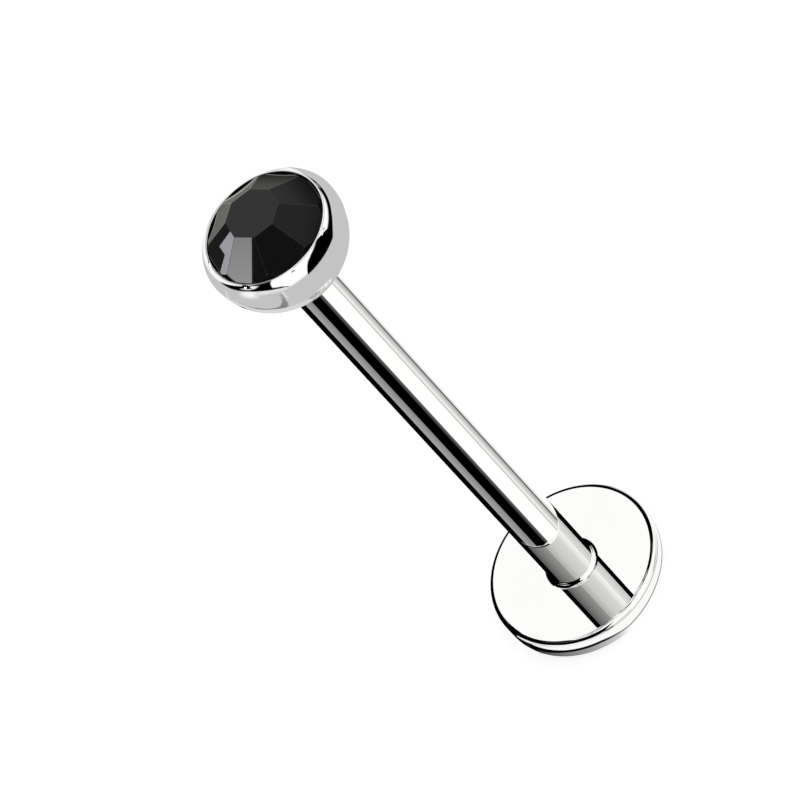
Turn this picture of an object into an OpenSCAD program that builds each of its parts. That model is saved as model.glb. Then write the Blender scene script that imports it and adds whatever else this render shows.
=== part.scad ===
// Labret stud: a round post welded to a flat disc, with a stone-set top that screws into the post's end.
// It stands on its disc: the origin is the centre of the disc's back face, and +Z runs up the post.
// All lengths are millimetres.

/* [Post] */
// Diameter of the post
post_d = 1.2; // [1:0.05:1.6]
// Length of the post between the disc and the setting
post_l = 14.2; // [6:0.1:19]
// Bevel around the post's open end
post_bevel = 0.05; // [0.02:0.01:0.08]
// Radius of the fillet at the foot of the post
foot_fillet = 0.1; // [0.05:0.01:0.3]

/* [Disc] */
// Diameter of the disc
disc_d = 4.36; // [3:0.05:6]
// Thickness of the disc
disc_t = 0.75; // [0.5:0.05:1.2]
// Radius of the disc's edge on the side of the post
disc_face_round = 0.13; // [0.05:0.01:0.2]
// Radius of the disc's edge on its back
disc_back_round = 0.2; // [0.05:0.01:0.28]

/* [Screw] */
// Diameter over the ridges of the screw's thread
screw_d = 0.86; // [0.7:0.01:0.88]
// Length of the screw below the setting
screw_l = 1.2; // [0.8:0.05:2]
// Distance from one thread ridge to the next
thread_pitch = 0.15; // [0.1:0.01:0.25]
// Height of the thread ridges above the screw's core
thread_depth = 0.07; // [0.04:0.01:0.09]
// Width of the flat crest of a thread ridge
thread_crest = 0.03; // [0.01:0.005:0.05]
// Height of the screw's rounded tip
screw_tip_h = 0.12; // [0.05:0.01:0.3]
// Free space around the screw in its bore
screw_gap = 0.03; // [0.02:0.005:0.05]
// Depth of the bore below the tip of the screw
bore_spare = 0.35; // [0.1:0.05:1]

/* [Setting] */
// Thickness of the setting's wall around the stone
setting_wall = 0.22; // [0.18:0.01:0.3]
// Diameter of the flat seat under the setting
setting_seat_d = 1.84; // [1.4:0.04:2.2]
// Radius of the bowl's round side
bowl_round = 1.5; // [1.4:0.02:1.6]
// Height of the rim above the setting's widest circle
rim_h = 0.42; // [0.38:0.01:0.46]
// Width of the flat on top of the rim
rim_flat = 0.03; // [0.02:0.005:0.05]
// Gap between the post's end and the setting
seat_gap = 0.02; // [0.01:0.005:0.05]

/* [Stone] */
// Diameter of the stone at its girdle
stone_d = 2.9; // [2.6:0.05:3.6]
// Width of the stone across the corners of its table
table_d = 1.3; // [0.9:0.02:1.6]
// Height of the table above the rim of the setting
table_h = 0.6; // [0.4:0.02:0.8]
// Number of facets around the table, and around the back
facets = 8; // [8:1:16]
// Turn of the stone's facets about the post
stone_turn = 38; // [0:1:45]
// Depth of the girdle's upper edge below the rim
girdle_drop = 0.13; // [0.12:0.01:0.16]
// Height of the stone's girdle
girdle_h = 0.12; // [0.1:0.01:0.15]
// Height of the stone's pointed back
back_h = 0.75; // [0.5:0.05:0.9]
// How far the rim closes over the girdle
rim_cover = 0.04; // [0.02:0.005:0.05]
// Free space around the stone in its seat
stone_gap = 0.015; // [0.01:0.005:0.02]
// Angle of the bevel between the facets and the girdle
bevel_angle = 62; // [60:1:65]
// Width of that bevel at the middle of each facet
bevel_w = 0.035; // [0.02:0.005:0.04]

/* [Hidden] */

$fn = 96;
// Slope of the drill's point at the bottom of the bore
drill_slope = tan(31);
// Overshoot of a cut past the solid that it opens
cut = 0.2;

post_r = post_d / 2;
disc_r = disc_d / 2;
post_top = disc_t + post_l;

stone_r = stone_d / 2;
stone_room = stone_r + stone_gap;
setting_r = stone_room + setting_wall;
setting_seat_r = setting_seat_d / 2;
setting_bottom = post_top + seat_gap;
// The bowl and the rim are both upright at the widest circle, where their curves meet
bowl_centre_r = setting_r - bowl_round;
bowl_h = sqrt(bowl_round * bowl_round - pow(setting_seat_r - bowl_centre_r, 2));
widest_z = setting_bottom + bowl_h;
rim_z = widest_z + rim_h;
rim_open_r = stone_r - rim_cover;
rim_flat_r = rim_open_r + rim_flat;
rim_inset = setting_r - rim_flat_r;
rim_round = (rim_inset * rim_inset + rim_h * rim_h) / (2 * rim_inset);

screw_r = screw_d / 2;
core_r = screw_r - thread_depth;
screw_tip_z = setting_bottom - screw_l;
// The tip is a cap of the sphere that passes through its point and its edge
screw_tip_r = (core_r * core_r + screw_tip_h * screw_tip_h) / (2 * screw_tip_h);
thread_z = screw_tip_z + screw_tip_h;
ridges = floor((screw_l - screw_tip_h) / thread_pitch);
bore_r = screw_r + screw_gap;
bore_floor_z = screw_tip_z - bore_spare;

facet_step = 360 / facets;
// Distance from the axis to the middle of a facet's edge, as a share of the distance to its corner
facet_middle = cos(facet_step / 2);
table_z = rim_z + table_h;
table_flat_r = table_d / 2 * facet_middle;
girdle_top = rim_z - girdle_drop;
girdle_bottom = girdle_top - girdle_h;
back_z = girdle_bottom - back_h;
// The bevel leans inwards from the girdle's upper edge, and the facets end on it
bevel_slope = tan(bevel_angle);
bevel_top_r = stone_r - (table_z - girdle_top) / bevel_slope;
facet_foot_r = stone_r - bevel_w;
facet_foot_z = girdle_top + bevel_w * bevel_slope;
facet_slope = (table_z - facet_foot_z) / (facet_foot_r - table_flat_r);
// Slope of the round cone that encloses the back's facets
back_slope = back_h / stone_r;

// Half outline of the disc: a flat plate with both of its edges rounded
module disc_outline() {
    flat_h = disc_t - disc_face_round - disc_back_round;
    square([disc_r - disc_back_round, disc_t]);
    translate([0, disc_back_round]) square([disc_r, flat_h]);
    translate([0, disc_back_round]) square([disc_r - disc_face_round, disc_t - disc_back_round]);
    translate([disc_r - disc_back_round, disc_back_round]) circle(disc_back_round);
    translate([disc_r - disc_face_round, disc_t - disc_face_round]) circle(disc_face_round);
}

// Half outline of the fillet that the weld leaves between the disc and the post
module foot_outline() {
    translate([post_r, disc_t]) difference() {
        translate([-cut, -cut]) square(foot_fillet + cut);
        translate([foot_fillet, foot_fillet]) circle(foot_fillet);
    }
}

// Half outline of the post, beveled around its open end
module post_outline() {
    polygon([
        [0, 0],
        [post_r, 0],
        [post_r, post_top - post_bevel],
        [post_r - post_bevel, post_top],
        [0, post_top]
    ]);
}

// Half outline of the tapped bore in the post's end, drawn at the diameter that clears the thread
module bore_outline() {
    polygon([
        [0, bore_floor_z - bore_r * drill_slope],
        [bore_r, bore_floor_z],
        [bore_r, post_top + cut],
        [0, post_top + cut]
    ]);
}

// Disc and post, welded into one piece and drilled for the screw
module disc_post() {
    color("silver") rotate_extrude() difference() {
        union() {
            disc_outline();
            foot_outline();
            post_outline();
        }
        bore_outline();
    }
}

// Half outline of the round bowl below the setting's widest circle
module bowl_outline() {
    intersection() {
        translate([bowl_centre_r, widest_z]) circle(bowl_round);
        translate([0, setting_bottom]) square([setting_r, bowl_h]);
    }
}

// Half outline of the rim, which rounds in over the stone
module rim_outline() {
    translate([0, widest_z]) square([rim_flat_r, rim_h]);
    intersection() {
        translate([setting_r - rim_round, widest_z]) circle(rim_round);
        translate([0, widest_z - cut]) square([setting_r, rim_h + cut]);
    }
}

// Half outline of the stone's seat: the stone's own outline, with the free space around it
module seat_outline() {
    side_gap = stone_gap * sqrt(1 + bevel_slope * bevel_slope);
    back_gap = stone_gap * sqrt(1 + back_slope * back_slope);
    lip_z = girdle_top + rim_cover * bevel_slope + side_gap;
    polygon([
        [0, back_z - back_gap],
        [stone_room, girdle_bottom + stone_gap * back_slope - back_gap],
        [stone_room, girdle_top - stone_gap * bevel_slope + side_gap],
        [rim_open_r, lip_z],
        [rim_open_r, rim_z + cut],
        [0, rim_z + cut]
    ]);
}

// Half outline of one ridge of the thread, from its lower root at the height given
module ridge_outline(z) {
    middle = z + thread_pitch / 2;
    polygon([
        [core_r - thread_depth, z],
        [core_r, z],
        [screw_r, middle - thread_crest / 2],
        [screw_r, middle + thread_crest / 2],
        [core_r, z + thread_pitch],
        [core_r - thread_depth, z + thread_pitch]
    ]);
}

// Half outline of the screw: a core with a rounded tip and ridges up its side
module screw_outline() {
    intersection() {
        translate([0, screw_tip_z + screw_tip_r]) circle(screw_tip_r);
        translate([0, screw_tip_z]) square([core_r, screw_tip_h]);
    }
    translate([0, thread_z]) square([core_r, screw_l - screw_tip_h + cut]);
    for (i = [0 : ridges - 1]) ridge_outline(thread_z + i * thread_pitch);
}

// Setting with its screw, turned from one piece of steel
module setting() {
    color("gainsboro") rotate_extrude() difference() {
        union() {
            bowl_outline();
            rim_outline();
            screw_outline();
        }
        seat_outline();
    }
}

// Round blank of the stone, before its facets are cut
module stone_blank() {
    rotate_extrude() polygon([
        [0, back_z],
        [stone_r, back_z],
        [stone_r, girdle_top],
        [bevel_top_r, table_z],
        [0, table_z]
    ]);
}

// What is cut away above a plane through radius r and height z, which falls outwards by the slope
module facet_cut(r, z, slope) {
    size = 2 * stone_d;
    translate([r, 0, z]) rotate([0, atan(slope), 0]) translate([-size / 2, -size / 2, 0]) cube(size);
}

// Stone with a flat table, facets around it and a pointed back
module stone() {
    back_foot_r = stone_r * facet_middle;
    color("black") rotate([0, 0, stone_turn]) difference() {
        stone_blank();
        for (i = [0 : facets - 1]) rotate([0, 0, i * facet_step]) {
            facet_cut(facet_foot_r, facet_foot_z, facet_slope);
            mirror([0, 0, 1]) facet_cut(back_foot_r, -girdle_bottom, back_h / back_foot_r);
        }
    }
}

disc_post();
setting();
stone();
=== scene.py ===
"""Polished labret stud with a black cut stone, standing on a pale floor in soft studio light."""

from math import asin, cos, degrees, hypot, pi, radians, sin, sqrt, tan

import bmesh
import bpy
import numpy as np
from mathutils import Matrix, Vector


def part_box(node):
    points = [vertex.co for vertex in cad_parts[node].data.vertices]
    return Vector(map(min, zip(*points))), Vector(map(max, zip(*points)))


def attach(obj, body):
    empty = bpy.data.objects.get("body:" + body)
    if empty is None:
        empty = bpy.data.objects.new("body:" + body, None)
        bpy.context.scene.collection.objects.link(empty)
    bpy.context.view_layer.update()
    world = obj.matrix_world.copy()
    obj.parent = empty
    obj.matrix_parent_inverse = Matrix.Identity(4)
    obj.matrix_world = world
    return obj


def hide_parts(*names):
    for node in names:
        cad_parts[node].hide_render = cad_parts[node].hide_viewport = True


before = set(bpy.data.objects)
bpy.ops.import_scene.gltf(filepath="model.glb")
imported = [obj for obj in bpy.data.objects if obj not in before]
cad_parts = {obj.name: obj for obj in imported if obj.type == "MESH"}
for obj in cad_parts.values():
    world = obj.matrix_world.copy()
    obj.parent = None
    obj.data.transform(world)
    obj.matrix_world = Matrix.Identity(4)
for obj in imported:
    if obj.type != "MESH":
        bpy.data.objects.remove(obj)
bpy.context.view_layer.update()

MM = 0.001


def reach(node):
    """Largest distance from the post's axis to a corner of a node, in millimetres."""
    return max(hypot(v.co.x, v.co.y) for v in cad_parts[node].data.vertices) / MM


def span(node):
    """Lowest and highest point of a node, in millimetres."""
    low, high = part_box(node)
    return low.z / MM, high.z / MM


# Sizes in millimetres. The frame gives the main ones, and the rest are the details of the solids
disc_r = reach("disc_post")
setting_r = reach("setting")
stone_r = reach("stone")
post_top = span("disc_post")[1]
screw_tip_z, rim_z = span("setting")
back_z, table_z = span("stone")

post_r = 0.6
post_bevel = 0.05
foot_fillet = 0.1
disc_t = 0.75
disc_face_round = 0.13
disc_back_round = 0.2

seat_gap = 0.02
seat_edge_round = 0.03
bowl_round = 1.5
rim_h = 0.42
rim_flat = 0.03
rim_cover = 0.04
rim_edge_round = 0.02
stone_gap = 0.015

screw_core_r = 0.36
screw_tip_h = 0.12
thread_depth = 0.07
thread_pitch = 0.15
thread_run_out = 0.08
thread_clearance = 0.03
bore_spare = 0.35
bore_mouth = 0.03
drill_slope = tan(radians(31))

facets = 8
stone_turn = 38
table_r = 0.65
girdle_drop = 0.13
girdle_h = 0.12
bevel_slope = tan(radians(62))
bevel_w = 0.035
stone_edge = 0.004

setting_bottom = post_top + seat_gap
widest_z = rim_z - rim_h
rim_open_r = stone_r - rim_cover
rim_inset = setting_r - rim_open_r - rim_flat
rim_round = (rim_inset ** 2 + rim_h ** 2) / (2 * rim_inset)
girdle_top = rim_z - girdle_drop
girdle_bottom = girdle_top - girdle_h

TURN_STEPS = 240
TURN = np.linspace(0, 2 * pi, TURN_STEPS, endpoint=False)
THREAD_ROWS = 16


def turned(radius, height, normal):
    """Section of an outline as radii and normals around the axis."""
    radius, height = np.array(radius, float), np.array(height, float)
    across, up = np.array(normal, float).T
    radii = np.repeat(radius[:, None], TURN_STEPS, 1)
    normals = np.stack([across[:, None] * np.cos(TURN), across[:, None] * np.sin(TURN),
                        np.repeat(up[:, None], TURN_STEPS, 1)], -1)
    return radii, height, normals


def line(start, end):
    """Straight section of an outline. The metal lies to the left of its course."""
    along = np.subtract(end, start)
    normal = (along[1] / hypot(*along), -along[0] / hypot(*along))
    return turned([start[0], end[0]], [start[1], end[1]], [normal, normal])


def arc(centre, radius, start, end, steps=16):
    """Round section of an outline, from one angle to another in degrees."""
    angle = np.radians(np.linspace(start, end, steps + 1))
    side = np.sign(end - start)
    radii = centre[0] + radius * np.cos(angle)
    heights = centre[1] + radius * np.sin(angle)
    return turned(radii, heights, side * np.stack([np.cos(angle), np.sin(angle)], -1))


def ridge_height(height, low, high):
    """Share of the thread's depth at each height and at every step around the axis, run out at both ends."""
    phase = (height[:, None] / thread_pitch - TURN / (2 * pi)) % 1
    top, flank = 1.7, 4.2
    share = np.clip(top - flank * np.abs(phase - 0.5), 0, 1)
    ends = np.clip(np.minimum(height - low, high - height) / thread_run_out, 0, 1)
    return share * share * (3 - 2 * share) * ends[:, None]


def thread(core_r, start, end):
    """Section of an outline with a helical ridge."""
    rows = round(abs(end - start) / thread_pitch * THREAD_ROWS)
    height = np.linspace(start, end, rows + 1)
    radii = core_r + thread_depth * ridge_height(height, min(start, end), max(start, end))
    heights = np.repeat(height[:, None], TURN_STEPS, 1)
    points = np.stack([radii * np.cos(TURN), radii * np.sin(TURN), heights], -1)
    around = np.roll(points, -1, 1) - np.roll(points, 1, 1)
    along = np.gradient(points, axis=0)
    normals = np.cross(around, along)
    normals /= np.linalg.norm(normals, axis=-1)[..., None]
    return radii, height, normals


def lathe(name, outline):
    """Closed piece turned about the axis. Its outline is a chain of sections that starts and ends there."""
    verts, faces, normals = [], [], []
    ring = None
    for radii, height, shade in outline:
        for row in range(len(height)):
            if row or ring is None:
                previous = ring
                first = len(verts)
                if radii[row].max() < 1e-9:
                    verts.append((0, 0, height[row]))
                    ring = [first] * TURN_STEPS
                else:
                    across = radii[row] * np.cos(TURN), radii[row] * np.sin(TURN)
                    verts += zip(*across, [height[row]] * TURN_STEPS)
                    ring = list(range(first, first + TURN_STEPS))
            if not row:
                continue
            for j in range(TURN_STEPS):
                k = (j + 1) % TURN_STEPS
                corners = {previous[j]: shade[row - 1, j], previous[k]: shade[row - 1, k],
                           ring[k]: shade[row, k], ring[j]: shade[row, j]}
                faces.append(list(corners))
                normals += corners.values()
    mesh = bpy.data.meshes.new(name)
    mesh.from_pydata([Vector(v) * MM for v in verts], [], faces)
    mesh.polygons.foreach_set("use_smooth", [True] * len(faces))
    mesh.normals_split_custom_set(normals)
    return show(name, mesh)


def show(name, mesh):
    """Puts a mesh into the scene as an object."""
    piece = bpy.data.objects.new(name, mesh)
    bpy.context.scene.collection.objects.link(piece)
    return piece


def post_and_disc():
    """Disc and post, welded into one piece, with a tapped bore in the post's open end."""
    back_in = disc_r - disc_back_round
    face_in = disc_r - disc_face_round
    bore_floor = screw_tip_z - bore_spare
    tapped = screw_core_r + thread_clearance
    return lathe("polished_disc_post", [
        line((0, 0), (back_in, 0)),
        arc((back_in, disc_back_round), disc_back_round, -90, 0),
        line((disc_r, disc_back_round), (disc_r, disc_t - disc_face_round)),
        arc((face_in, disc_t - disc_face_round), disc_face_round, 0, 90),
        line((face_in, disc_t), (post_r + foot_fillet, disc_t)),
        arc((post_r + foot_fillet, disc_t + foot_fillet), foot_fillet, -90, -180),
        line((post_r, disc_t + foot_fillet), (post_r, post_top - post_bevel)),
        line((post_r, post_top - post_bevel), (post_r - post_bevel, post_top)),
        line((post_r - post_bevel, post_top), (tapped + thread_depth + bore_mouth, post_top)),
        line((tapped + thread_depth + bore_mouth, post_top), (tapped, post_top - thread_depth - bore_mouth)),
        thread(tapped, post_top - thread_depth - bore_mouth, screw_tip_z),
        line((tapped, screw_tip_z), (tapped, bore_floor)),
        line((tapped, bore_floor), (0, bore_floor - tapped * drill_slope)),
    ])


def setting():
    """Cup that holds the stone, with the screw under it."""
    tip_r = (screw_core_r ** 2 + screw_tip_h ** 2) / (2 * screw_tip_h)
    tip_angle = degrees(asin(screw_core_r / tip_r))
    thread_z = screw_tip_z + screw_tip_h
    bowl_r = setting_r - bowl_round
    rim_r = setting_r - rim_round
    # The small rounds at the edges of the flat seat and of the flat on the rim touch both of their sides
    inner = bowl_round - seat_edge_round
    drop = widest_z - setting_bottom - seat_edge_round
    edge_r = bowl_r + sqrt(inner ** 2 - drop ** 2)
    edge_angle = degrees(asin(drop / inner))
    shoulder = rim_round - rim_edge_round
    rise = rim_h - rim_edge_round
    lip_out = rim_r + sqrt(shoulder ** 2 - rise ** 2)
    lip_angle = degrees(asin(rise / shoulder))
    lip_in = min(rim_open_r + rim_edge_round, lip_out)
    side_gap = stone_gap * sqrt(1 + bevel_slope ** 2)
    back_slope = (girdle_bottom - back_z) / stone_r
    back_gap = stone_gap * sqrt(1 + back_slope ** 2)
    room_r = stone_r + stone_gap
    lip_z = girdle_top + rim_cover * bevel_slope + side_gap
    room_top = girdle_top - stone_gap * bevel_slope + side_gap
    room_bottom = girdle_bottom + stone_gap * back_slope - back_gap
    return lathe("polished_setting", [
        arc((0, screw_tip_z + tip_r), tip_r, -90, tip_angle - 90, 8),
        thread(screw_core_r, thread_z, setting_bottom),
        line((screw_core_r, setting_bottom), (edge_r, setting_bottom)),
        arc((edge_r, setting_bottom + seat_edge_round), seat_edge_round, -90, -edge_angle, 6),
        arc((bowl_r, widest_z), bowl_round, -edge_angle, 0, 48),
        arc((rim_r, widest_z), rim_round, 0, lip_angle, 40),
        arc((lip_out, rim_z - rim_edge_round), rim_edge_round, lip_angle, 90, 6),
        line((lip_out, rim_z), (lip_in, rim_z)),
        arc((lip_in, rim_z - rim_edge_round), rim_edge_round, 90, 180, 6),
        line((rim_open_r, rim_z - rim_edge_round), (rim_open_r, lip_z)),
        line((rim_open_r, lip_z), (room_r, room_top)),
        line((room_r, room_top), (room_r, room_bottom)),
        line((room_r, room_bottom), (0, back_z - back_gap)),
    ])


def cut_stone():
    """Stone with a flat table, facets around it, a round girdle and a pointed back. Its upper edges are just
    broken."""
    step = 360 / facets
    middle = cos(radians(step / 2))
    foot_r = stone_r - bevel_w
    foot_z = girdle_top + bevel_w * bevel_slope
    crown_slope = (table_z - foot_z) / (foot_r - table_r * middle)
    back_foot_r = stone_r * middle
    back_slope = (girdle_bottom - back_z) / back_foot_r
    bevel_top_r = stone_r - (table_z - girdle_top) / bevel_slope
    blank = (stone_r, back_z), (stone_r, girdle_top), (bevel_top_r, table_z)
    bm = bmesh.new()
    rings = [[bm.verts.new((r * cos(a), r * sin(a), z)) for a in TURN[::2]] for r, z in blank]
    count = len(rings[0])
    bm.faces.new(rings[0][::-1])
    bm.faces.new(rings[-1])
    for low, high in zip(rings, rings[1:]):
        for j in range(count):
            k = (j + 1) % count
            bm.faces.new((low[j], low[k], high[k], high[j]))

    def cut(point, normal):
        whole = bm.verts[:] + bm.edges[:] + bm.faces[:]
        made = bmesh.ops.bisect_plane(bm, geom=whole, dist=1e-5, plane_co=point, plane_no=normal,
                                      clear_outer=True)
        edges = [g for g in made["geom_cut"] if isinstance(g, bmesh.types.BMEdge)]
        bmesh.ops.contextual_create(bm, geom=edges)

    for i in range(facets):
        turn = Matrix.Rotation(radians(stone_turn + i * step), 3, "Z")
        cut(turn @ Vector((foot_r, 0, foot_z)), turn @ Vector((crown_slope, 0, 1)).normalized())
        cut(turn @ Vector((back_foot_r, 0, girdle_bottom)), turn @ Vector((back_slope, 0, -1)).normalized())
    bmesh.ops.recalc_face_normals(bm, faces=bm.faces)
    # Area and upward share of the normal that tell the facets from the ground faces around the girdle
    least_area, least_rise, ground_rise = 0.05, 0.3, 0.55
    flat = {f for f in bm.faces if f.calc_area() > least_area and f.normal.z > least_rise}
    edges = [e for e in bm.edges if all(f in flat for f in e.link_faces)]
    bmesh.ops.bevel(bm, geom=edges, offset=stone_edge, segments=2, profile=0.5, affect="EDGES")
    for f in bm.faces:
        f.smooth = abs(f.normal.z) < ground_rise and f.calc_area() < least_area
        f.material_index = int(f.smooth)
    mesh = bpy.data.meshes.new("cut_stone")
    bm.to_mesh(mesh)
    bm.free()
    mesh.transform(Matrix.Scale(MM, 4))
    return show("cut_stone", mesh)


class Nodes:
    """Short way to build a node tree."""

    def __init__(self, tree):
        self.tree = tree
        tree.nodes.clear()

    def add(self, kind, inputs=None, **settings):
        node = self.tree.nodes.new(kind)
        for name, value in settings.items():
            setattr(node, name, value)
        for name, value in (inputs or {}).items():
            if isinstance(value, bpy.types.NodeSocket):
                self.tree.links.new(value, node.inputs[name])
            else:
                node.inputs[name].default_value = value
        return node

    def math(self, operation, *values):
        """Result of a sum on values or sockets."""
        node = self.tree.nodes.new("ShaderNodeMath")
        node.operation = operation
        for place, value in enumerate(values):
            if isinstance(value, bpy.types.NodeSocket):
                self.tree.links.new(value, node.inputs[place])
            else:
                node.inputs[place].default_value = value
        return node.outputs[0]


def new_material(name):
    material = bpy.data.materials.new(name)
    material.use_nodes = True
    return material, Nodes(material.node_tree)


def turning_coordinates(n):
    """Radius and height as a coordinate, so that a noise read there runs in rings around the axis."""
    place = n.add("ShaderNodeTexCoord").outputs["Object"]
    parts = n.add("ShaderNodeSeparateXYZ", {0: place})
    flat = n.add("ShaderNodeCombineXYZ", {0: parts.outputs[0], 1: parts.outputs[1]})
    radius = n.add("ShaderNodeVectorMath", {0: flat.outputs[0]}, operation="LENGTH").outputs["Value"]
    return place, n.add("ShaderNodeCombineXYZ", {0: radius, 1: parts.outputs[2]}).outputs[0]


def polished_steel(name, light, dark):
    """Mirror polish with a faint change of tone, uneven gloss and the last trace of the polishing wheel."""
    material, n = new_material(name)
    place, rings = turning_coordinates(n)
    cloud = n.add("ShaderNodeTexNoise", {"Vector": place, "Scale": 900.0, "Detail": 3.0}).outputs["Fac"]
    wheel = n.add("ShaderNodeTexNoise", {"Vector": rings, "Scale": 26000.0, "Detail": 2.0}).outputs["Fac"]
    tone = n.add("ShaderNodeValToRGB", {"Fac": cloud})
    tone.color_ramp.elements[0].color = (*dark, 1)
    tone.color_ramp.elements[1].color = (*light, 1)
    gloss = n.add("ShaderNodeMapRange", {"Value": wheel, "From Min": 0.3, "From Max": 0.7,
                                         "To Min": 0.005, "To Max": 0.012}).outputs[0]
    bump = n.add("ShaderNodeBump", {"Height": wheel, "Strength": 0.3, "Distance": 5e-8})
    metal = n.add("ShaderNodeBsdfPrincipled", {"Base Color": tone.outputs[0], "Metallic": 1.0,
                                               "Roughness": gloss, "Normal": bump.outputs[0]})
    n.add("ShaderNodeOutputMaterial", {"Surface": metal.outputs[0]})
    return material


def black_glass():
    """Opaque black glass with polished facets, a little cloudy where the polish thins."""
    material, n = new_material("black_glass")
    place = n.add("ShaderNodeTexCoord").outputs["Object"]
    cloud = n.add("ShaderNodeTexNoise", {"Vector": place, "Scale": 1500.0, "Detail": 3.0}).outputs["Fac"]
    tone = n.add("ShaderNodeValToRGB", {"Fac": cloud})
    tone.color_ramp.elements[0].color = (0.0012, 0.0012, 0.0014, 1)
    tone.color_ramp.elements[1].color = (0.0035, 0.0035, 0.0034, 1)
    gloss = n.add("ShaderNodeMapRange", {"Value": cloud, "To Min": 0.01, "To Max": 0.02}).outputs[0]
    glass = n.add("ShaderNodeBsdfPrincipled", {"Base Color": tone.outputs[0], "Roughness": gloss,
                                               "IOR": 1.55})
    n.add("ShaderNodeOutputMaterial", {"Surface": glass.outputs[0]})
    return material


def ground_glass():
    """The narrow ground faces around the stone's girdle, which stay dull."""
    material, n = new_material("ground_black_glass")
    place = n.add("ShaderNodeTexCoord").outputs["Object"]
    grain = n.add("ShaderNodeTexNoise", {"Vector": place, "Scale": 20000.0, "Detail": 3.0}).outputs["Fac"]
    tone = n.add("ShaderNodeValToRGB", {"Fac": grain})
    tone.color_ramp.elements[0].color = (0.002, 0.002, 0.0022, 1)
    tone.color_ramp.elements[1].color = (0.008, 0.008, 0.008, 1)
    glass = n.add("ShaderNodeBsdfPrincipled", {"Base Color": tone.outputs[0], "Roughness": 0.6,
                                               "Specular IOR Level": 0.0})
    n.add("ShaderNodeOutputMaterial", {"Surface": glass.outputs[0]})
    return material


# Camera: its place, the point on which it is centred, its roll and its lens, in millimetres and degrees
CAMERA_AT = Vector((0, -84.65, 108.22))
CAMERA_TO = Vector((-0.372, 0, 9.390))
CAMERA_ROLL = -42.62
CAMERA_LENS = 258.33

# Distances in millimetres from what mirrors them to the cards that only reflections see
ABOVE_SETTING = 4.7
BESIDE_SETTING = 2.2
BEFORE_FACET = 4.3
BEFORE_FRONT_FACET = 11.5
# Height in millimetres of the card at the disc
FLOOR_CARD_Z = -0.02


# Azimuths in degrees: 0 is the side of the camera, 90 is to the right of it and 180 is behind the stud
def spot(azimuth, radius, height):
    """Point at an azimuth, a distance from the axis and a height."""
    a = radians(azimuth)
    return Vector((radius * sin(a), -radius * cos(a), height))


# Azimuths of the stone's eight upper facets. Azimuth 0 is a quarter turn, two whole facets, from the X axis
REAR_LEFT, LEFT, FRONT_LEFT, FRONT, FRONT_RIGHT, RIGHT, REAR_RIGHT, REAR = (
    stone_turn + 360 / facets * place for place in range(-4, 4))
# Those whose cards lie beyond the card above the setting, which is open before them
FAR_FACETS = FRONT, FRONT_LEFT, FRONT_RIGHT


def stage_card(name, verts, faces):
    """Studio card that only reflections see. Its corners are in millimetres."""
    mesh = bpy.data.meshes.new(name)
    mesh.from_pydata([v * MM for v in verts], [], faces)
    made = show(name, mesh)
    material, n = new_material(name)
    material.cycles.emission_sampling = "NONE"
    mesh.materials.append(material)
    made.visible_camera = made.visible_diffuse = made.visible_transmission = False
    made.visible_shadow = made.visible_volume_scatter = False
    return mesh, n


def card(name, verts, faces, levels, tint=(1, 1, 1)):
    """Card with its level of light given at each corner."""
    mesh, n = stage_card(name, verts, faces)
    mesh.attributes.new("level", "FLOAT", "POINT").data.foreach_set("value", levels)
    level = n.add("ShaderNodeAttribute", attribute_name="level").outputs["Fac"]
    glow = n.add("ShaderNodeEmission", {"Color": (*tint, 1), "Strength": level})
    n.add("ShaderNodeOutputMaterial", {"Surface": glow.outputs[0]})


def grid(rows, columns):
    """Faces of a net of corners that are listed row by row."""
    return [(r * columns + c, r * columns + c + 1, (r + 1) * columns + c + 1, (r + 1) * columns + c)
            for r in range(rows - 1) for c in range(columns - 1)]


def floor_card(name, rows, turns, steps):
    """Card just under the floor beside the disc, where reflections see it and the floor is hidden from them.
    Each row gives the height on the disc's wall that mirrors it to the camera, and its level. A list stands
    for a value that changes along the wall, through points that each give a turn and the value."""
    along = np.linspace(*turns, steps + 1)
    verts, levels = [], []
    for row in rows:
        height, level = (np.interp(along, *zip(*(v if isinstance(v, list) else [(0, v)]))) for v in row)
        for turn, z in zip(along, height):
            point = spot(turn, disc_r, z)
            way = (point - CAMERA_AT).reflect(spot(turn, 1, 0)).normalized()
            verts.append(point + way * ((FLOOR_CARD_Z - z) / way.z))
        levels += level.tolist()
    card(name, verts, grid(len(rows), steps + 1), levels)


def facet_plane(azimuth):
    """Point and normal of one of the stone's upper facets, or of its table if there is no azimuth."""
    if azimuth is None:
        return Vector((0, 0, table_z)), Vector((0, 0, 1))
    foot_r = stone_r - bevel_w
    foot_z = girdle_top + bevel_w * bevel_slope
    slope = (table_z - foot_z) / (foot_r - table_r * cos(pi / facets))
    return spot(azimuth, foot_r, foot_z), (spot(azimuth, slope, 0) + Vector((0, 0, 1))).normalized()


def facet_half(azimuth, low):
    """Half of the width of a facet, or of the table, at a distance from the axis down the facet."""
    if azimuth is None:
        middle = table_r * cos(pi / facets)
        return min(middle, middle * sqrt(2) - abs(low))
    foot, normal = facet_plane(azimuth)
    height = foot.z + (stone_r - bevel_w - low) * hypot(normal.x, normal.y) / normal.z
    round_r = stone_r - (height - girdle_top) / bevel_slope
    return min(low * tan(pi / facets), sqrt(max(round_r ** 2 - low ** 2, 0)))


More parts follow.
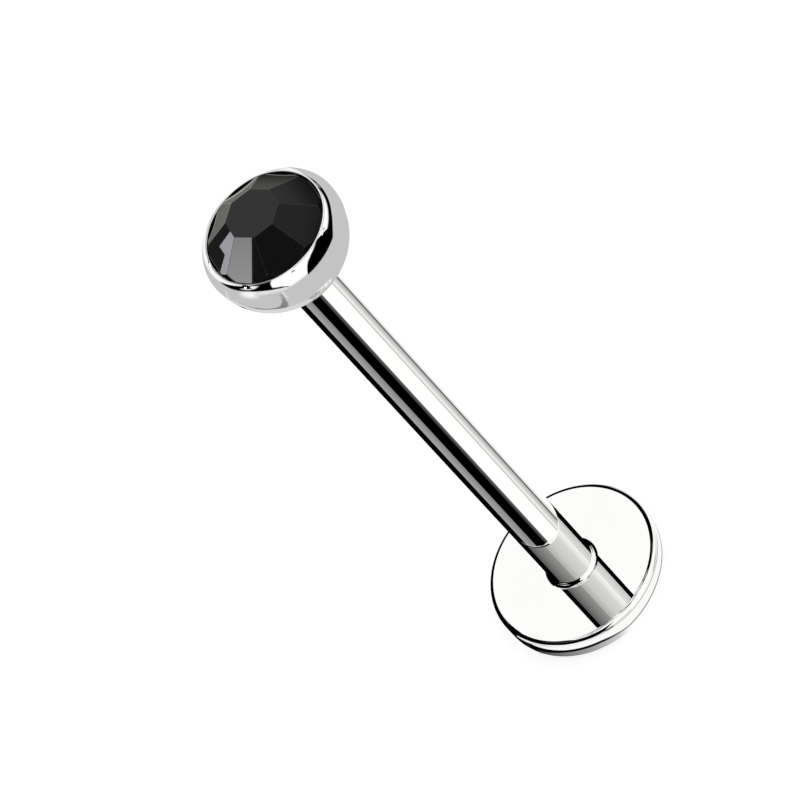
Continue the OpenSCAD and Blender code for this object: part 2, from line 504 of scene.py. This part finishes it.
def facet_card(name, azimuth, rows, distance=BEFORE_FACET, tint=(1, 1, 1)):
    """Card placed where one facet, or the table if there is no azimuth, mirrors it to the camera. Each row
    gives a distance from the axis down the facet, the two ends across it, which are the facet's own when
    they are left out, and the level of light."""
    beyond_any_facet = 9
    row_step = 0.04
    foot, normal = facet_plane(azimuth)
    turn = FRONT if azimuth is None else azimuth
    down, across = spot(turn, 1, 0), spot(turn + 90, 1, 0)
    whole = -beyond_any_facet, beyond_any_facet
    rows = [(row[0], *(row[1:3] if len(row) > 2 else whole), row[-1]) for row in rows]
    dense = [rows[0]]
    for first, last in zip(rows, rows[1:]):
        count = max(1, round((last[0] - first[0]) / row_step))
        dense += [np.array(first) + np.subtract(last, first) * (k + 1) / count for k in range(count)]
    verts, levels = [], []
    for low, left, right, level in dense:
        half = facet_half(azimuth, low)
        for side in (max(left, -half), min(right, half)):
            point = down * low + across * side
            point.z = foot.z - (point - foot).xy.dot(normal.xy) / normal.z
            ray = (point - CAMERA_AT).normalized()
            verts.append(point + ray.reflect(normal) * distance)
            levels.append(level)
    card(name, verts, grid(len(dense), 2), levels, tint)


def facet_cards():
    """Cards for the stone, one or two a facet. Some fade towards the rim, and a lamp lies in front of its
    dark surround."""
    green = (1.0, 1.0, 0.9)
    blue = (0.95, 0.96, 1.05)
    near, far = BEFORE_FACET, BEFORE_FRONT_FACET
    top, foot = 0.58, 1.42
    facet_card("table_card", None, [(-0.6, 0.6), (-0.25, 0.6), (0.25, 0.6), (0.6, 0.6)])
    facet_card("front_card", FRONT, [(top, 0.08), (foot, 0.08)], far)
    facet_card("lamp_surround", FRONT_LEFT, [(top, 0.08), (foot, 0.08)], far + 0.5)
    facet_card("lamp", FRONT_LEFT, [(top, -0.24, 0.204, 4.2), (0.6, -0.248, 0.2, 4.4),
                                    (1.4, -0.58, 0.112, 5.6)], far)
    facet_card("left_card", LEFT, [(top, 0.1), (foot, 0.1)], near + 0.1)
    facet_card("left_lamp", LEFT, [(top, 0.06, 0.3, 3.6), (0.62, 0.033, 0.3, 3.6), (1.02, -0.114, 0.45, 3.6),
                                   (0.967, 0.17, 0.45, 3.6), (1.4, 0.275, 0.58, 3.6)], near, blue)
    facet_card("right_card", FRONT_RIGHT, [(top, 0.34), (1.1, 0.33), (1.3, 0.25), (foot, 0.1)], far)
    facet_card("far_right_card", RIGHT, [(top, 0.42), (0.9, 0.34), (1.2, 0.16), (foot, 0.02)])
    facet_card("back_right_card", REAR_RIGHT, [(top, 0.36), (0.9, 0.27), (1.25, 0.1), (foot, 0.03)],
               near, green)
    facet_card("back_card", REAR, [(top, 0.33), (1.32, 0.31), (1.38, 0.05), (foot, 0)], near, green)
    facet_card("back_left_card", REAR_LEFT, [(top, 0.48), (1.3, 0.42), (1.37, 0.08), (foot, 0)], near, green)


def seen_in_facet(point, azimuth):
    """Whether a facet mirrors a point to the camera, with some room around the facet."""
    top, bottom, room = 0.5, 1.5, 0.06
    foot, normal = facet_plane(azimuth)
    way = (foot - CAMERA_AT).normalized().reflect(normal)
    beyond = (point - foot).dot(normal) / way.dot(normal)
    place = point - way * beyond
    low, side = place.dot(spot(azimuth, 1, 0)), place.dot(spot(azimuth + 90, 1, 0))
    return beyond > 0 and top < low < bottom and abs(side) < low * tan(pi / facets) + room


def setting_card(name, slopes, distance, lights, turns=(-180, 180), steps=180, open_to=()):
    """Card around the setting, each corner of which lies where one point of the setting mirrors it to the
    camera. The points run between two turns and between two slopes of the surface, a degree apart. The
    lights are painted by the direction of the mirrored ray and by the surface's own direction. The card is
    left out where the camera sees nothing of the surface, where the bowl mirrors what is steeply below it,
    and before the facets that it is open to."""
    edge_on, bowl_tilt, steepest = -0.03, -0.5, -0.81
    to_camera = (CAMERA_AT - Vector((0, 0, widest_z))).normalized()
    verts, ways, normals, seen = [], [], [], []
    tilts = np.linspace(*slopes, round(slopes[1] - slopes[0]) + 1)
    for tilt in tilts:
        for turn in np.linspace(*turns, steps + 1):
            normal = spot(turn, cos(radians(tilt)), sin(radians(tilt)))
            bend = rim_round if tilt > 0 else bowl_round
            point = spot(turn, setting_r - bend, widest_z) + normal * bend
            way = normal * (2 * normal.dot(to_camera)) - to_camera
            verts.append(point + way * distance)
            ways.append(way)
            normals.append(normal)
            shown = normal.dot(to_camera) > edge_on and (tilt > bowl_tilt or way.z > steepest)
            seen.append(shown and not any(seen_in_facet(verts[-1], azimuth) for azimuth in open_to))
    faces = [f for f in grid(len(tilts), steps + 1) if all(seen[v] for v in f)]
    mesh, n = stage_card(name, verts, faces)
    parts = []
    for part, vectors in (("way", ways), ("normal", normals)):
        layer = mesh.attributes.new(part, "FLOAT_VECTOR", "POINT")
        layer.data.foreach_set("vector", np.ravel(vectors))
        parts.append(n.add("ShaderNodeAttribute", attribute_name=part).outputs["Vector"])
    glow = n.add("ShaderNodeEmission", {"Strength": lights(n, *parts)})
    n.add("ShaderNodeOutputMaterial", {"Surface": glow.outputs[0]})


# Levels of light: of what has no layer of its own, and of the bright boxes
AMBIENT = 0.56
BRIGHT = 1.03


class Lights:
    """Layers of light over all directions. Azimuth and elevation are degrees, and a later layer covers."""

    def __init__(self, n, way, level):
        self.add = n.add
        self.math = n.math
        unit = n.add("ShaderNodeVectorMath", {0: way}, operation="NORMALIZE").outputs[0]
        x, y, z = n.add("ShaderNodeSeparateXYZ", {0: unit}).outputs
        self.azimuth = self.math("DEGREES", self.math("ARCTAN2", x, self.math("MULTIPLY", y, -1.0)))
        self.elevation = self.math("DEGREES", self.math("ARCSINE", z))
        self.share = self.math("MULTIPLY_ADD", self.azimuth, 1 / 360, 0.5)
        self.level = self.math("ADD", level, 0.0)

    def curve(self, points):
        """Elevation along a line drawn through a few points, each an azimuth and an elevation."""
        node = self.add("ShaderNodeFloatCurve", {"Value": self.share})
        drawn = node.mapping.curves[0].points
        for _ in points[2:]:
            drawn.new(0.5, 0.5)
        for point, (azimuth, elevation) in zip(drawn, points):
            point.location = azimuth / 360 + 0.5, elevation / 180 + 0.5
            point.handle_type = "VECTOR"
        node.mapping.extend = "HORIZONTAL"
        node.mapping.update()
        return self.math("MULTIPLY_ADD", node.outputs[0], 180.0, -90.0)

    def above(self, value, edge, soft):
        """Share that rises from 0 to 1 as a value passes an edge."""
        if isinstance(edge, (list, tuple)):
            edge = self.curve(edge)
        past = self.math("SUBTRACT", value, edge)
        inputs = {"Value": past, "From Min": -soft / 2, "From Max": soft / 2}
        return self.add("ShaderNodeMapRange", inputs, interpolation_type="SMOOTHSTEP").outputs[0]

    def paint(self, level, azimuths, low=None, high=None, soft=2.0, soft_sides=None):
        """One layer, between two azimuths and above and below elevations or lines."""
        masks = []
        if azimuths[0] > -180:
            masks.append(self.above(self.azimuth, azimuths[0], soft_sides or soft))
        if azimuths[1] < 180:
            past = self.above(self.azimuth, azimuths[1], soft_sides or soft)
            masks.append(self.math("SUBTRACT", 1.0, past))
        if low is not None:
            masks.append(self.above(self.elevation, low, soft))
        if high is not None:
            masks.append(self.math("SUBTRACT", 1.0, self.above(self.elevation, high, soft)))
        mask = masks[0]
        for other in masks[1:]:
            mask = self.math("MULTIPLY", mask, other)
        change = self.math("SUBTRACT", level, self.level)
        self.level = self.math("MULTIPLY_ADD", change, mask, self.level)

    def belt(self, bands, low, high, soft=0.3):
        """Narrow belt between two elevations. Each band gives its azimuths and its level at either end."""
        inset = 0.0005
        ramp = self.add("ShaderNodeValToRGB", {"Fac": self.share})
        stops = []
        for first, last, start, end in bands:
            stops += [(first / 360 + 0.5 + inset, start), (last / 360 + 0.5 - inset, end)]
        elements = ramp.color_ramp.elements
        elements[0].position = stops[0][0]
        elements[1].position = stops[-1][0]
        for place, _ in stops[1:-1]:
            elements.new(place)
        for element, (place, level) in zip(elements, stops):
            element.color = (level, level, level, 1)
        self.paint(ramp.outputs[0], (-180, 180), low, high, soft)


def raised(points, by):
    """The same points, higher by some degrees or millimetres."""
    return [(turn, height + by) for turn, height in points]


def paint_table_edge(sky):
    """Painted reflection of the far side of the table under the stud: a thin dark line that widens to a dark
    wedge beside the painted dark line down the bowl, with a lighter floor beyond it."""
    edge = [(-180, -40), (-130, -46), (-127.5, -52), (-125, -55.2), (-119.4, -57.8), (-113, -61.1),
            (-109.5, -65), (-106, -69), (-90, -70), (-66, -63.2), (-56, -55), (-51, -48), (180, -48)]
    wedge_top = [(-180, -60), (-112, -60), (-100, -62.5), (-88.7, -63), (-76, -60.5), (-61, -54.5),
                 (-54, -46), (180, -46)]
    sky.paint(0.69, (-180, -106), low=-80, high=edge, soft=1.5, soft_sides=3)
    sky.paint(0.24, (-114, -50), low=edge, high=wedge_top, soft=1.6, soft_sides=5)
    sky.paint(0.08, (-131, -104), low=raised(edge, -1.6), high=raised(edge, 2.6), soft=1.6, soft_sides=4)


def lights_of_setting(n, way, normal):
    """What the rim and the top of the bowl mirror, by the direction of the ray and of the surface itself."""
    sky = Lights(n, way, AMBIENT)
    # Bright wall to the left, a glow under the black flag in front of it, and a small lamp in that
    wall = [(-180, -40), (-165, -30), (-150, -14), (-135, 0), (-122, 12), (-113, 24), (-104, 36), (-95, 46),
            (-88, 56), (-80, 64), (180, 64)]
    sky.paint(0.95, (-180, -60), low=wall, soft=8)
    sky.paint(0.93, (-92, -72), low=-9, soft=28, soft_sides=14)
    glow = [(-180, 6), (-75, 6), (-50, 2), (-37, -4), (-20, -10), (180, -10)]
    sky.paint(0.78, (-70, -20), low=glow, soft=16, soft_sides=10)
    flag = [(-180, 9), (-122, 9), (-108, 12), (-95, 18), (-84, 22), (-70, 23.5), (-60, 22), (-45, 16),
            (-33, 8), (-27, -2), (180, -2)]
    flag_top = [(-180, 6), (-126, 6), (-122, 12), (-113, 26), (-104, 38), (-95, 48), (-88, 57), (-80, 65),
                (180, 65)]
    sky.paint(0.0, (-126, -26), low=flag, high=flag_top, soft=4)
    lamp = [(-180, 27), (-96, 27), (-86, 29), (-78, 36), (180, 36)]
    lamp_top = [(-180, 35), (-96, 38), (-90, 46), (180, 46)]
    sky.paint(0.95, (-97, -79), low=lamp, high=lamp_top, soft=6, soft_sides=6)
    # Black flag to the right, with a long foot and a soft upper edge, and a bright window above that
    window = [(-180, 62), (64, 62), (69, 30), (90, 29), (115, 26), (130, 26), (144, 13), (160, -20),
              (172, -40), (180, -40)]
    sky.paint(BRIGHT, (62, 180), low=window, soft=3)
    flag = [(-180, -8), (0, -8), (58, -10), (62, -4), (67, 2), (75, 8), (90, 13), (120, 12), (140, 10),
            (180, 10)]
    flag_top = [(-180, 62), (64, 62), (69, 29), (90, 28), (115, 25), (130, 25), (143, 11), (180, 9)]
    sky.paint(0.6, (14, 146), low=[(-180, 0), (58, 0), (180, 10)], high=raised(flag_top, 3), soft=10)
    sky.paint(0.0, (0, 146), low=flag, high=flag_top, soft=4)
    # Long soft box from the front over the top, that fades into the table below it
    box = [(-180, 66), (-72, 66), (-62, 55), (-55, 42), (-50, 28), (-36, 18), (-28, 4), (-27, -4), (0, -4),
           (1, -2), (3, 12), (8, 31), (14, 43), (28, 53), (45, 58), (62, 62), (180, 62)]
    sky.paint(BRIGHT, (-180, 180), low=box, soft=6)
    sky.paint(AMBIENT, (-29, 0), high=-3, soft=22, soft_sides=1)
    paint_table_edge(sky)
    # By the surface's own direction, painted shade in the reflection: a dark line down the bowl, a faint one
    # to the left, and grey lines around the stone
    shade = Lights(n, normal, sky.level)
    shade.paint(0.36, (-26.8, -24.1), low=-9, high=15, soft=8, soft_sides=2.4)
    shade.paint(0.72, (-24, -22.2), low=-9, high=20, soft=8, soft_sides=1.2)
    shade.paint(0.68, (-74.5, -72), low=2, high=30, soft=6, soft_sides=1.5)
    shade.paint(0.3, (-165, -15), low=60, soft=9, soft_sides=20)
    shade.paint(0.4, (-8, 165), low=58, high=61.5, soft=3, soft_sides=8)
    return shade.level


def lights_of_studio(n, way):
    """What the disc, the post and the underside of the setting mirror."""
    sky = Lights(n, way, AMBIENT)
    paint_table_edge(sky)
    # White room with grey and dark stripes low on its walls. A black wall above them outlines the disc
    sky.paint(1.0, (-180, 180), low=-46)
    stripes = ((-180, -168, 0.72, 0.66), (-168, -150, 0.1, 0.18), (-150, -125, 0.8, 1),
               (-125, -85, 0.9, 0.72), (-85, -50, 0.9, 1), (-50, -22, 0.95, 0.6), (-22, -12, 0.1, 0.1),
               (-12, 14, 0.66, 0.72), (14, 60, 1, 0.9), (60, 76, 0.62, 0.5), (76, 110, 0.7, 0.95),
               (110, 150, 1, 0.9), (150, 162, 0.2, 0.1), (162, 180, 0.66, 0.72))
    sky.belt(stripes, -42, -3, 5)
    wall = [(-180, -46), (-132, -46), (-122, -30), (-115, -12), (-106, -1), (-90, 3), (-76, 8), (-60, 0),
            (-45, -6), (-33, -12), (-22, -10), (-16, 20), (-10, 60), (0, 88), (40, 88), (66, 72), (88, 54),
            (99, 30), (112, 12), (128, -1), (145, -6), (161, -12), (172, -24), (180, -46)]
    wall_top = [(-180, 45), (-170, 46), (-162, 47), (-152, 56), (-140, 66), (-120, 68), (-95, 66), (-80, 62),
                (-60, 59), (-46, 57), (-33, 54), (-22, 52), (-8, 60), (0, 90), (170, 90), (180, 49)]
    sky.paint(0.0, (-180, 180), low=wall, high=wall_top)
    # Bands that the post mirrors from below, and that its foot mirrors from above by way of the disc
    from_below = ((-180, -108, 0, 0), (-108, -68, 0.39, 0.246), (-68, -26, 0, 0), (-26, -12, 0.027, 0.13),
                  (-12, 51, BRIGHT, BRIGHT), (51, 58, 0.6, 0.6), (58, 68, 0.9, 0.85), (68, 91, 0.75, 0.42),
                  (91, 99, 0.1, 0.12), (99, 118, 0.75, BRIGHT), (118, 180, BRIGHT, BRIGHT))
    from_above = ((-180, -173, 1, 1), (-173, -110, 0, 0), (-110, -37, 0.1, 0.3), (-37, -14, 0.45, 0.57),
                  (-14, 38, 0.6, 0.72), (38, 66, 0.78, 0.95), (66, 112, 0.76, 0.58), (112, 173, 0, 0),
                  (173, 180, 1, 1))
    sky.belt(from_below, -52.2, -46.6)
    sky.belt(from_above, 49.9, 52.8)
    return sky.level


def disc_rows():
    """Rows of the card at the disc, whose wall mirrors a white band over a black line to the left, and two
    grey lines to the right. Heights are in millimetres."""
    over_wall, under_wall = 0.76, -0.25
    white = 0.97
    line_half = 0.025
    edge = 0.02
    line_z = [(-28, 0.637), (0, 0.617), (28, 0.597), (56, 0.598), (85, 0.7)]
    line_level = [(-28, white), (0, 0.25), (64, 0.2), (85, 1)]
    band_z = [(-72, 0.72), (-69, 0.7), (-64, 0.574), (-56, 0.518), (-45, 0.478), (-19, 0.436), (0, 0.297),
              (28, 0.347), (56, 0.378), (85, 0.5)]
    band_level = [(-15, 0), (-6, 0.2), (64, 0.2), (85, 1)]
    band_end = [(-72, 0.454), (-60, 0.318), (-56, 0.328), (-45, 0.358), (-19, 0.346), (0, 0.257),
                (28, 0.307), (56, 0.338), (85, 0.46)]
    foot_level = [(-66, 0), (-56, 0.12), (-28, 0.35), (-9, 0.6), (0, 1)]
    return [
        (over_wall, white),
        (raised(line_z, line_half), white),
        (line_z, line_level),
        (raised(line_z, -line_half), white),
        (band_z, white),
        (raised(band_z, -edge), band_level),
        (band_end, band_level),
        (raised(band_end, -edge), foot_level),
        (under_wall, foot_level),
    ]


def studio_cards():
    """Cards around the stud, each placed where some of its surfaces mirror it to the camera."""
    setting_card("over_the_setting", (24, 90), ABOVE_SETTING, lights_of_setting, open_to=FAR_FACETS)
    setting_card("beside_the_setting", (-10, 24), BESIDE_SETTING, lights_of_setting)
    setting_card("behind_the_opening", (40, 62), BEFORE_FRONT_FACET + 0.5, lights_of_setting, (-32, 16), 24)
    floor_card("beside_the_disc", disc_rows(), (-72, 88), 120)
    facet_cards()


def studio():
    """Pale floor, soft white light from all around, and what only the reflections see."""
    floor = show("floor", bpy.data.meshes.new("floor"))
    # In metres, and just below the disc's back
    half, low = 3.0, -5e-6
    corners = [(-half, -half, low), (half, -half, low), (half, half, low), (-half, half, low)]
    floor.data.from_pydata(corners, [], [(0, 1, 2, 3)])
    material, n = new_material("pale_floor")
    paper = n.add("ShaderNodeBsdfDiffuse", {"Color": (0.35, 0.35, 0.35, 1)})
    glow = n.add("ShaderNodeEmission", {"Strength": 0.72})
    both = n.add("ShaderNodeAddShader", {0: paper.outputs[0], 1: glow.outputs[0]})
    n.add("ShaderNodeOutputMaterial", {"Surface": both.outputs[0]})
    floor.data.materials.append(material)
    floor.visible_glossy = False
    studio_cards()
    world = bpy.data.worlds.new("studio")
    world.use_nodes = True
    world.cycles.sampling_method = "NONE"
    n = Nodes(world.node_tree)
    level = lights_of_studio(n, n.add("ShaderNodeTexCoord").outputs["Generated"])
    plain = n.add("ShaderNodeBackground", {"Strength": 1.0, "Color": (1, 1, 1, 1)})
    mirrored = n.add("ShaderNodeBackground", {"Strength": 1.0, "Color": level})
    path = n.add("ShaderNodeLightPath")
    mix = n.add("ShaderNodeMixShader", {0: path.outputs["Is Glossy Ray"], 1: plain.outputs[0],
                                        2: mirrored.outputs[0]})
    n.add("ShaderNodeOutputWorld", {"Surface": mix.outputs[0]})
    bpy.context.scene.world = world
    bpy.context.scene.view_settings.view_transform = "Standard"


def camera():
    """Long lens at the photograph's angle, rolled so that the post runs from the lower right to the upper
    left."""
    data = bpy.data.cameras.new("camera")
    data.sensor_width = 36
    data.lens = CAMERA_LENS
    data.clip_start, data.clip_end = 0.01, 10
    made = bpy.data.objects.new("camera", data)
    forward = (CAMERA_TO - CAMERA_AT).normalized()
    right = forward.cross(Vector((0, 0, 1))).normalized()
    up = right.cross(forward)
    c, s = cos(radians(CAMERA_ROLL)), sin(radians(CAMERA_ROLL))
    right, up = right * c + up * s, up * c - right * s
    turn = Matrix((right, up, -forward)).transposed().to_4x4()
    made.matrix_world = Matrix.Translation(CAMERA_AT * MM) @ turn
    bpy.context.scene.collection.objects.link(made)
    bpy.context.scene.camera = made


camera()
studio()

steel = polished_steel("polished_steel", (0.985, 0.985, 0.975), (0.965, 0.965, 0.955))
setting_steel = polished_steel("polished_setting_steel", (0.985, 0.985, 0.98), (0.965, 0.965, 0.96))
for piece, materials, body, node, slot in (
    (post_and_disc(), [steel], "post_body", "disc_post", "steel"),
    (setting(), [setting_steel], "top_body", "setting", "setting_steel"),
    (cut_stone(), [black_glass(), ground_glass()], "top_body", "stone", "black_stone"),
):
    for material in materials:
        piece.data.materials.append(material)
    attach(piece, body)
    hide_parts(node)
